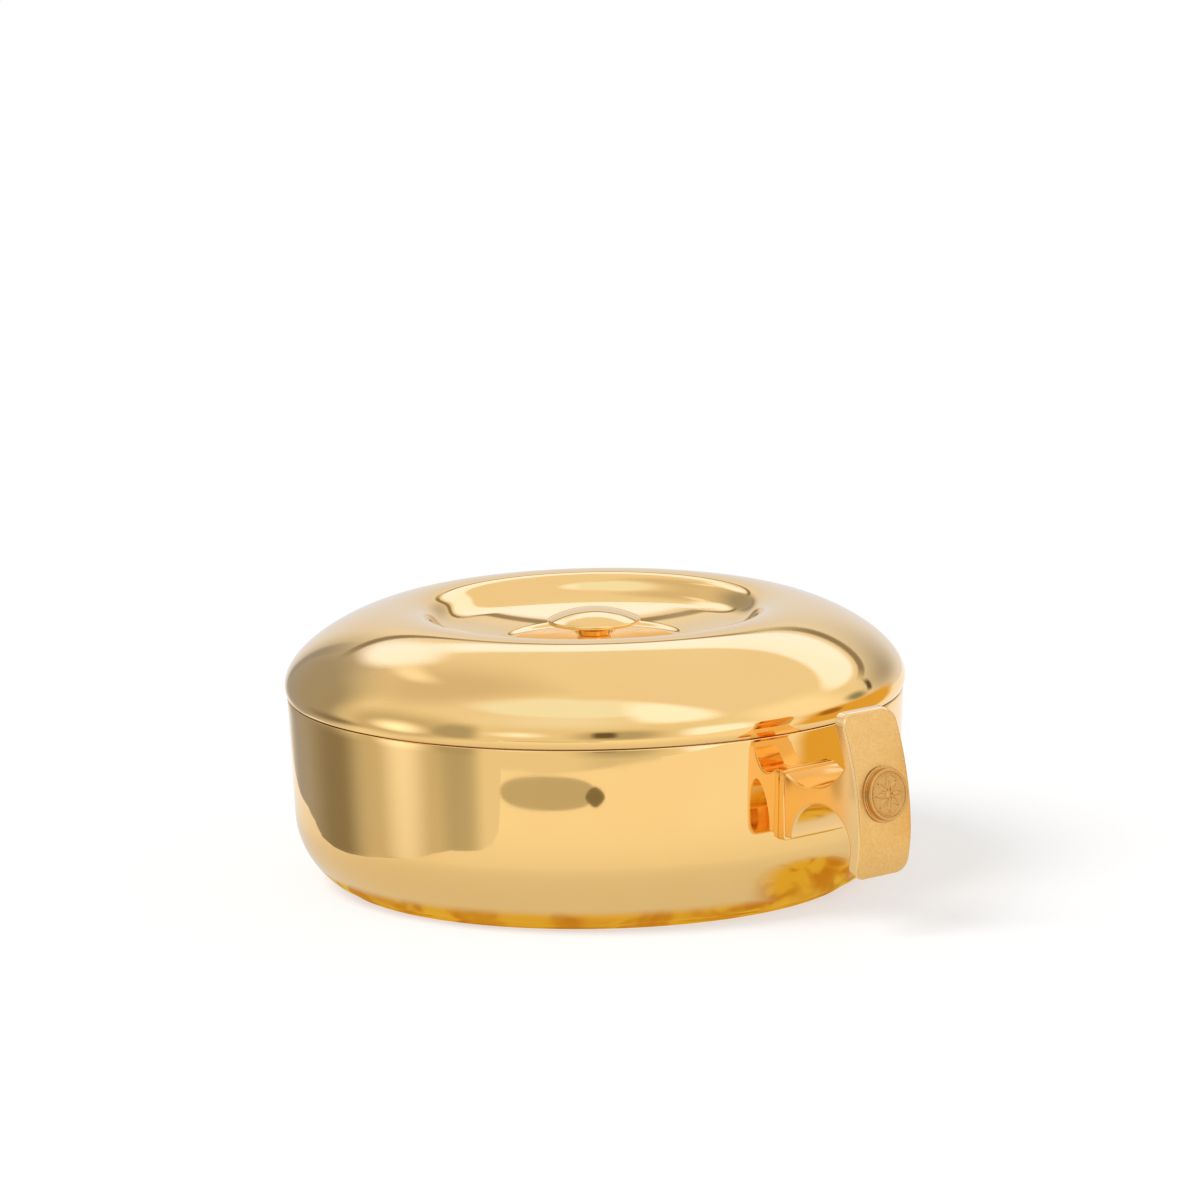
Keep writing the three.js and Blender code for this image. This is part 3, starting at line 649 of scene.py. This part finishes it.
# A pad with one flat face across X and one face that follows the bowl's wall
def fittedPad(outline, flatX, wallRadius, soft=0.2):
    outline = np.array(outline)
    middle = (outline.max(0) + outline.min(0)) / 2
    towards = 1 if flatX > wallRadius(middle[1]) - 0.5 else -1
    loops = [("wall", share, 0) for share in (0.25, 0.5, 0.75, 0.9)]
    loops += [("wall", 1, soft), ("wall", 1, 0), ("flat", 1, 0), ("flat", 1, soft)]
    loops += [("flat", share, 0) for share in (0.9, 0.75, 0.5, 0.25)]
    faces, n = [], len(outline)

    def faceX(side, y, z):
        return flatX if side == "flat" else math.sqrt(wallRadius(z) ** 2 - y ** 2)

    vertices = [(faceX("wall", *middle), *middle)]
    for side, share, inset in loops:
        drawn = share if not inset else 1 - inset / np.abs(outline - middle).max()
        ring = middle + (outline - middle) * drawn
        lift = 0 if inset or share < 1 else (soft if side == "wall" else -soft) * towards
        vertices += [(faceX(side, y, z) + lift, y, z) for y, z in ring]
    vertices.append((faceX("flat", *middle), *middle))
    last = len(vertices) - 1
    for i in range(n):
        k = (i + 1) % n
        faces.append((0, 1 + k, 1 + i))
        faces.append((last, last - n + i, last - n + k))
        for r in range(len(loops) - 1):
            faces.append((1 + r * n + i, 1 + r * n + k, 1 + (r + 1) * n + k, 1 + (r + 1) * n + i))
    return vertices, faces


saddle = newPiece("handle_saddle_fitted", "bowl_body", "polished_gold_plate", plateGold,
                  "handle_saddle")
fill(saddle, *fittedPad(
    roundedOutline(h["width"] / 2, rootBottom - saddleSizes["drop"], rootTop,
                   saddleSizes["corner"]),
    rootFace, lambda z: bowlSide(z) + saddleSizes["gap"]))

medalSizes = {
    "radius": 6.75, "proud": 2.1, "height": 37.35, "seat": 0.3, "edge": 0.4, "rim": 0.85,
    "flange": 7.45, "flangeHigh": 0.45, "flangeEdge": 0.3,
    "rimRise": 0.5, "boss": 1.1, "bossRise": 0.45, "petals": 8, "petalIn": 1.3, "petalOut": 4.6,
    "petalRise": 0.42, "petalWidth": 1.39104, "petalFull": 0.8, "petalCrown": 0.6,
    "petalMiddle": 0.72, "bead": 5.25, "beadWidth": 0.3, "beadRise": 0.22,
}


# A round medallion on a low flange, with a raised rim and a plain eight-petal rosette
def medallionMesh(m, segments=256):
    field = m["proud"] - m["rimRise"]
    inner = m["radius"] - m["rim"]
    radii = list(np.linspace(0.05, inner - 0.5, 90))
    vertices, faces = [(0, 0, field + m["bossRise"])], []
    angles = np.linspace(0, 2 * math.pi, segments, endpoint=False)
    for r in radii:
        for a in angles:
            rise = 0.0
            if r < m["boss"]:
                rise = m["bossRise"] * math.sqrt(max(0, 1 - (r / m["boss"]) ** 2))
            share = (r - m["petalIn"]) / (m["petalOut"] - m["petalIn"])
            if 0 < share < 1:
                width = math.sin(math.pi * share ** m["petalFull"]) * m["petalWidth"]
                pitch = 2 * math.pi / m["petals"]
                offset = abs(((a + pitch / 2) % pitch) - pitch / 2) * r
                if offset < width / 2 + 1e-9 and width > 0:
                    across = offset / (width / 2)
                    rise = max(rise, m["petalRise"] * (1 - across ** 2) ** m["petalCrown"]
                               * (m["petalMiddle"] + (1 - m["petalMiddle"]) * across))
            gap = abs(r - m["bead"]) / m["beadWidth"]
            if gap < 1:
                rise = max(rise, m["beadRise"] * math.sqrt(1 - gap ** 2))
            vertices.append((r * math.cos(a), r * math.sin(a), field + rise))
    outline = joined(
        curve([(inner - 0.35, field), (inner - 0.1, field), (inner, field + 0.15)], 4),
        curve([(inner, field + 0.15), (inner, m["proud"]), (inner + 0.3, m["proud"])], 6),
        curve([(m["radius"] - m["edge"], m["proud"]), (m["radius"], m["proud"]),
               (m["radius"], m["proud"] - m["edge"])], 8),
        curve([(m["radius"], m["proud"] - m["edge"]), (m["radius"], m["flangeHigh"] + 0.2)], 6),
        curve([(m["radius"], m["flangeHigh"] + 0.2), (m["radius"], m["flangeHigh"]),
               (m["radius"] + 0.2, m["flangeHigh"])], 6),
        curve([(m["flange"] - m["flangeEdge"], m["flangeHigh"]), (m["flange"], m["flangeHigh"]),
               (m["flange"], m["flangeHigh"] - m["flangeEdge"])], 6),
        [(m["flange"], 0.0), (m["radius"] + 0.2, 0.0), (m["radius"] + 0.2, -m["seat"]),
         (m["radius"] * 0.5, -m["seat"])])
    for r, z in outline:
        vertices += [(r * math.cos(a), r * math.sin(a), z) for a in angles]
    count = len(radii) + len(outline)
    vertices.append((0, 0, -m["seat"]))
    last = len(vertices) - 1
    for i in range(segments):
        k = (i + 1) % segments
        faces.append((0, 1 + i, 1 + k))
        faces.append((last, last - segments + k, last - segments + i))
        for r in range(count - 1):
            low, high = 1 + r * segments, 1 + (r + 1) * segments
            faces.append((low + i, high + i, high + k, low + k))
    return vertices, faces


tilt = math.asin((medalSizes["height"] - h["bulge"]) / h["upperRadius"])
medalX = strapReach - h["upperRadius"] * (1 - math.cos(tilt))
medallion = newPiece("handle_medallion_struck", "bowl_body", "satin_gold_medallion", struckGold,
                     "handle_medallion")
fill(medallion, *medallionMesh(medalSizes), sharp=math.radians(50))
medallion.matrix_world = (Matrix.Translation(((axisX + medalX) * mm, 0, medalSizes["height"] * mm))
                          @ Matrix.Rotation(math.pi / 2 - tilt, 4, "Y"))
print("saddle and medallion made")

# The plate and fasteners inside keep their CAD shapes
for name in ("handle_backing_plate", "handle_screw_left", "handle_screw_right", "knob_stud",
             "knob_washer", "knob_nut"):
    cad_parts[name].data.materials.clear()
    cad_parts[name].data.materials.append(steel)

# The camera stands where the photograph was taken from, and looks past the ciborium's middle by
# offRight and offUp, in pixels of a 1200 pixel frame, as focal is. Its distance is in metres
camera = {
    "azimuth": 48.0, "elevation": 11.8, "roll": 1.09, "distance": 2.475, "lens": 278.64,
    "sensor": 36, "targetHeight": 25.1, "offRight": -3.1, "offUp": -181.1, "focal": 9288.0,
}


# Degrees: azimuth 0 is towards -Y and 90 is over the handle
def direction(azimuth, elevation):
    a, e = math.radians(azimuth), math.radians(elevation)
    return Vector((math.sin(a) * math.cos(e), -math.cos(a) * math.cos(e), math.sin(e)))


def addCamera(c):
    back = direction(c["azimuth"], c["elevation"])
    right = Vector((0, 0, 1)).cross(back).normalized()
    up = back.cross(right)
    turn, tip = math.cos(math.radians(c["roll"])), math.sin(math.radians(c["roll"]))
    level = Matrix((right * turn - up * tip, right * tip + up * turn, back)).transposed()
    aim = (Matrix.Rotation(math.atan(c["offRight"] / c["focal"]), 3, "Y")
           @ Matrix.Rotation(-math.atan(c["offUp"] / c["focal"]), 3, "X"))
    made = bpy.data.objects.new("camera", bpy.data.cameras.new("camera"))
    bpy.context.scene.collection.objects.link(made)
    target = Vector((axisX * mm, 0, c["targetHeight"] * mm))
    made.matrix_world = Matrix.Translation(target + back * c["distance"]) @ (level @ aim).to_4x4()
    made.data.lens = c["lens"]
    made.data.sensor_width = c["sensor"]
    made.data.clip_end = 100
    bpy.context.scene.camera = made


addCamera(camera)

# floorSize is in metres; floorLift brings the floor up to white for the camera alone
stage = {
    "floorSize": 12.0, "floorDrop": 0.05, "floorTone": "#B0B0B0", "floorLift": 0.6,
    "worldLevel": 0.48, "aroundLevel": 0.9,
    "keyLevel": 1.95, "keyAngle": 34.0, "keyAzimuth": -12.0, "keyElevation": 50.0,
}


# Matt card: pale and even, so that it shows only the ciborium's soft shadow
def addFloor(s):
    half = s["floorSize"] / 2
    mesh = bpy.data.meshes.new("floor")
    mesh.from_pydata([(-half, -half, 0), (half, -half, 0), (half, half, 0), (-half, half, 0)], [],
                     [(0, 1, 2, 3)])
    floor = bpy.data.objects.new("floor", mesh)
    bpy.context.scene.collection.objects.link(floor)
    material, tree = emptyMaterial("matt_white_card")
    path = addNode(tree, "ShaderNodeLightPath")
    lift = addNode(tree, "ShaderNodeMath", operation="MULTIPLY", values={1: s["floorLift"]},
                   links={0: path.outputs["Is Camera Ray"]})
    card = addNode(tree, "ShaderNodeBsdfDiffuse", values={"Color": linear(s["floorTone"])})
    glow = addNode(tree, "ShaderNodeEmission", links={"Strength": lift.outputs[0]})
    both = addNode(tree, "ShaderNodeAddShader", links={0: card.outputs[0], 1: glow.outputs[0]})
    addNode(tree, "ShaderNodeOutputMaterial", links={"Surface": both.outputs[0]})
    mesh.materials.append(material)
    floor.location.z = -s["floorDrop"] * mm
    floor.visible_glossy = False


# White for the camera, a pale room for the gold, and softer still as a light
def addWorld(s):
    world = bpy.data.worlds.new("studio")
    world.use_nodes = True
    tree = world.node_tree
    tree.nodes.clear()
    path = addNode(tree, "ShaderNodeLightPath")
    around = addNode(tree, "ShaderNodeMapRange",
                     values={"To Min": s["worldLevel"], "To Max": s["aroundLevel"]},
                     links={"Value": path.outputs["Is Glossy Ray"]})
    level = addNode(tree, "ShaderNodeMath", operation="MAXIMUM",
                    links={0: around.outputs[0], 1: path.outputs["Is Camera Ray"]})
    sky = addNode(tree, "ShaderNodeBackground", links={"Strength": level.outputs[0]})
    sky.inputs["Color"].default_value = (1, 1, 1, 1)
    addNode(tree, "ShaderNodeOutputWorld", links={"Surface": sky.outputs[0]})
    bpy.context.scene.world = world


# A broad soft sun, which lays the shadow to the right
def addKeyLamp(s):
    lamp = bpy.data.objects.new("key_lamp", bpy.data.lights.new("key_lamp", "SUN"))
    bpy.context.scene.collection.objects.link(lamp)
    lamp.data.energy = s["keyLevel"]
    lamp.data.angle = math.radians(s["keyAngle"])
    lamp.rotation_mode = "QUATERNION"
    lamp.rotation_quaternion = direction(s["keyAzimuth"], s["keyElevation"]).to_track_quat("Z", "Y")
    lamp.visible_glossy = False


# Something that only the gold's reflections see
def stageCard(name, finish, vertices, faces):
    mesh = bpy.data.meshes.new(name)
    mesh.from_pydata(vertices, [], faces)
    card = bpy.data.objects.new(name, mesh)
    bpy.context.scene.collection.objects.link(card)
    card.location.x = axisX * mm
    card.visible_camera = card.visible_diffuse = card.visible_shadow = False
    material, tree = emptyMaterial(finish)
    material.cycles.emission_sampling = "NONE"
    mesh.materials.append(material)
    return card, tree


# The white paper on the table, as the gold sees it: it ends a little way off, to the left and in
# front. It glows rather than being lit. The glow is dimmed close to the ciborium as a painted
# shadow, and tinted with patchy gold round the foot and under the handle as painted light thrown by
# the ciborium. Places are (right of the bowl's axis, towards the camera)
sheetSizes = {
    # near dims the paper close to the ciborium as a painted shadow
    "tone": "#FFFCFA", "far": 1.0, "near": 0.74, "nearRadius": 75.0, "farRadius": 185.0,
    # The gold tones and the rings below place painted gold light thrown by the ciborium onto the
    # paper
    "thrownGoldTone": "#FFDC5C", "shadeTone": "#E2A83C", "patch": 16.0, "patchEdge": (0.4, 0.6),
    "thrownGoldInside": 72.0, "thrownGoldOutside": 77.0,
    "handleThrownGold": (64, 46), "handleInside": 16.0, "handleOutside": 30.0,
    "edge": [(-118, -700), (-118, -250), (-122, -140), (-130, -90), (-138, -60), (-136, -36),
             (-130, -18), (-122, -3), (-112, 12), (-105, 28), (-103, 42), (-105, 55), (-107, 69),
             (-108, 84), (-107, 97), (-101, 110), (-92, 119), (-84, 127), (-80, 137), (-83, 150),
             (-92, 165), (-102, 181), (-113, 198), (-90, 209), (-66, 215), (-43, 222), (-20, 227),
             (5, 230), (30, 231), (55, 229), (80, 223), (121, 242), (151, 258), (900, 600),
             (900, -700)],
}


def addSheet(s):
    front, right = direction(camera["azimuth"], 0), direction(camera["azimuth"] + 90, 0)
    tree = stageCard("sheet", "matt_white_paper",
                     [(right * r + front * f) * mm for r, f in s["edge"]],
                     [tuple(range(len(s["edge"])))])[1]
    place = addNode(tree, "ShaderNodeTexCoord")
    away = addNode(tree, "ShaderNodeVectorMath", operation="LENGTH",
                   links={0: place.outputs["Object"]})
    # Painted shadow: the glow is dimmer close to the ciborium
    level = addNode(tree, "ShaderNodeMapRange", interpolation_type="SMOOTHSTEP",
                    values={"From Min": s["nearRadius"] * mm, "From Max": s["farRadius"] * mm,
                            "To Min": s["near"], "To Max": s["far"]},
                    links={"Value": away.outputs["Value"]})
    # Painted light thrown by the ciborium: a gold ring round the foot and a gold spot under the
    # handle
    footThrownGold = addNode(tree, "ShaderNodeMapRange", interpolation_type="SMOOTHSTEP",
                   values={"From Min": s["thrownGoldInside"] * mm, "From Max": s["thrownGoldOutside"] * mm},
                   links={"Value": away.outputs["Value"]})
    spot = (right * s["handleThrownGold"][0] + front * s["handleThrownGold"][1]) * mm
    beside = addNode(tree, "ShaderNodeVectorMath", operation="DISTANCE", values={1: spot},
                     links={0: place.outputs["Object"]})
    thrown = addNode(tree, "ShaderNodeMapRange", interpolation_type="SMOOTHSTEP",
                     values={"From Min": s["handleInside"] * mm,
                             "From Max": s["handleOutside"] * mm},
                     links={"Value": beside.outputs["Value"]})
    plain = addNode(tree, "ShaderNodeMath", operation="MINIMUM",
                    links={0: footThrownGold.outputs[0], 1: thrown.outputs[0]})
    patches = addNode(tree, "ShaderNodeTexNoise",
                      values={"Scale": 1 / (s["patch"] * mm), "Detail": 2.0, "Distortion": 0.6},
                      links={"Vector": place.outputs["Object"]})
    patchy = addNode(tree, "ShaderNodeMapRange", interpolation_type="SMOOTHSTEP",
                     values={"From Min": s["patchEdge"][0], "From Max": s["patchEdge"][1]},
                     links={"Value": patches.outputs[0]})
    # The painted gold light is patchy, between a darker and a brighter gold
    gold = addNode(tree, "ShaderNodeMix", data_type="RGBA",
                   values={6: linear(s["shadeTone"]), 7: linear(s["thrownGoldTone"])},
                   links={0: patchy.outputs[0]})
    tone = addNode(tree, "ShaderNodeMix", data_type="RGBA", values={7: linear(s["tone"])},
                   links={0: plain.outputs[0], 6: gold.outputs[2]})
    glow = addNode(tree, "ShaderNodeEmission",
                   links={"Color": tone.outputs[2], "Strength": level.outputs[0]})
    addNode(tree, "ShaderNodeOutputMaterial", links={"Surface": glow.outputs[0]})


cardStep = 1.5  # degrees between a card's mesh lines

# Walls, flags, lamps and soft boxes round the table, and warm cards to the right, close to the
# handle, which glow gold as a painted reflection of gold light in the bowl.
# Degrees round from the camera (right positive) and up from the table to the middle, half the
# width and half the height in degrees, tilt, how square (2 is round), the share that fades out,
# metres from the bowl's axis, tone and level (1 is white)
cards = {
    "frontMark": (-14.6, 1.6, 15, 1.55, 0, 2.4, 0.1, 0.19, "#F4F0E6", 0.62),
    "frontMarkDark": (-0.6, 1.5, 3.2, 1.0, 0, 1.5, 0.2, 0.188, "#F4E6C8", 0.26),
    # Painted reflection: warm cards close to the handle that glow gold, though they are no lamps
    "warmCard": (84, 13, 28, 14, 0, 4, 0.3, 0.15, "#FFD062", 0.78),
    "warmShade": (70, 20, 7, 5, 0, 2.5, 0.6, 0.149, "#FFB860", 0.4),
    "middleFlag": (3, 7, 6, 15, 0, 4, 0.6, 1.4, "#FFE9C4", 0.16),
    "backSlope": (125, 18, 9, 2.6, 55, 4, 0.7, 1.44, "#FFF4E4", 0.12),
    "backEdge": (150, 27.5, 26, 2.0, 4, 8, 0.6, 1.44, "#FFF4E4", 0.3),
    "backEdgeFar": (178, 31, 12, 1.8, 0, 8, 0.6, 1.44, "#FFF4E4", 0.35),
    "backEdgeLeft": (-164, 29, 15, 1.8, -8, 8, 0.6, 1.44, "#FFF4E4", 0.3),
    "backSide": (-157, 10, 3.2, 19, 0, 6, 0.7, 1.44, "#F6F6FF", 0.38),
    "rightFlag": (112, 14, 10, 9, 0, 2.2, 0.8, 1.46, "#F8FFEE", 0.34),
    "leftLamp": (-76, 0, 17, 25, 0, 2, 0.95, 1.5, "#E6ECFF", 1.75),
    "frontLamp": (-28, 7, 15, 14, 0, 2, 0.95, 1.5, "#D8E2FF", 1.7),
    "rightBox": (45, 2, 18, 21, 0, 3, 0.55, 1.45, "#CBD6FF", 2.0),
    "overBox": (37, 56, 25, 25, 0, 2.6, 0.5, 1.42, "#CBD6FF", 2.0),
    "topWindow": (-17, 70, 76, 16, 0, 3.4, 0.35, 1.55, "#D9E8FF", 1.38),
    "overLeft": (-15, 48, 52, 26, 0, 2.2, 1, 1.57, "#E4ECFF", 1.2),
    "middleShade": (8, 4, 22, 26, 0, 2.6, 0.7, 1.56, "#FFFDF4", 0.5),
    "frontGap": (-52, 4, 12, 34, 0, 2.6, 0.6, 1.56, "#FFFDF4", 0.46),
    "backBar": (156, 38, 52, 8, 4, 2.4, 0.3, 1.48, "#CBD6FF", 1.95),
    "backBarLeft": (-155, 39, 15, 10, 35, 2.4, 0.6, 1.48, "#CBD6FF", 1.95),
    "backTail": (-138, 50, 18, 5, 30, 2.4, 0.9, 1.49, "#F2F4FF", 1.2),
    "backShade": (142, 15, 28, 16, 0, 2.4, 1, 1.51, "#F4F6FF", 0.5),
    "backWall": (161, 2, 41, 27, 0, 6, 0.25, 1.52, "#F0F4FF", 0.92),
    "leftShade": (-114, -15, 26, 14, 0, 2.4, 0.9, 1.6, "#FFF8E6", 0.26),
    "leftWall": (-134, 6, 37, 44, 0, 3, 0.5, 1.62, "#FBFBFF", 0.4),
    "leftUpper": (-120, 60, 50, 30, 0, 2.4, 0.8, 1.66, "#FFFAF8", 0.72),
    "rightWall": (84, 24, 31, 24, 0, 3, 0.6, 1.62, "#F8F8FF", 1.12),
    "leftNear": (-76, 3, 36, 46, 0, 3, 0.6, 1.66, "#FFFBF4", 0.62),
    "front": (-10, -2, 66, 50, 0, 4, 0.5, 1.68, "#FFFCF8", 0.86),
    "ceiling": (0, 70, 190, 30, 0, 12, 0.4, 1.8, "#FCFAFF", 0.93),
}


# Lamp silk, bent round the bowl and lit from behind: an even glow that fades out at its edge.
# The warm cards glow the same way, as a painted reflection
def addCard(name, azimuth, elevation, halfAcross, halfUp, tilt, square, soft, distance, tone,
            level):
    turn = math.radians(tilt)
    count, rows = max(8, int(halfAcross / cardStep)), max(6, int(halfUp / cardStep))
    vertices, faces, places = [], [], []
    for v in np.linspace(-1, 1, rows + 1):
        for u in np.linspace(-1, 1, count + 1):
            across, up = u * halfAcross, v * halfUp
            vertices.append(direction(
                camera["azimuth"] + azimuth + across * math.cos(turn) - up * math.sin(turn),
                min(90, elevation + across * math.sin(turn) + up * math.cos(turn))) * distance)
            places.append((u, v))
    for j in range(rows):
        for i in range(count):
            first = j * (count + 1) + i
            faces.append((first, first + 1, first + count + 2, first + count + 1))
    card, tree = stageCard(name, "lit_lamp_silk", vertices, faces)
    layer = card.data.uv_layers.new(name="place")
    for loop in card.data.loops:
        layer.data[loop.index].uv = places[loop.vertex_index]
    place = addNode(tree, "ShaderNodeUVMap", uv_map="place")
    size = addNode(tree, "ShaderNodeVectorMath", operation="ABSOLUTE", links={0: place.outputs[0]})
    split = addNode(tree, "ShaderNodeSeparateXYZ", links={0: size.outputs[0]})
    raised = [addNode(tree, "ShaderNodeMath", operation="POWER", values={1: square},
                      links={0: split.outputs[axis]}) for axis in "XY"]
    both = addNode(tree, "ShaderNodeMath", operation="ADD",
                   links={0: raised[0].outputs[0], 1: raised[1].outputs[0]})
    away = addNode(tree, "ShaderNodeMath", operation="POWER", values={1: 1 / square},
                   links={0: both.outputs[0]})
    cover = addNode(tree, "ShaderNodeMapRange", interpolation_type="SMOOTHSTEP",
                    values={"From Min": 1.0, "From Max": 1.0 - soft},
                    links={"Value": away.outputs[0]})
    clear = addNode(tree, "ShaderNodeBsdfTransparent")
    glow = addNode(tree, "ShaderNodeEmission", values={"Color": linear(tone), "Strength": level})
    mix = addNode(tree, "ShaderNodeMixShader",
                  links={0: cover.outputs[0], 1: clear.outputs[0], 2: glow.outputs[0]})
    addNode(tree, "ShaderNodeOutputMaterial", links={"Surface": mix.outputs[0]})


addFloor(stage)
addSheet(sheetSizes)
addWorld(stage)
addKeyLamp(stage)
for name, sizes in cards.items():
    addCard(name, *sizes)
print("floor, light and cards made")

bpy.context.scene.view_settings.view_transform = "Standard"
bpy.context.view_layer.update()
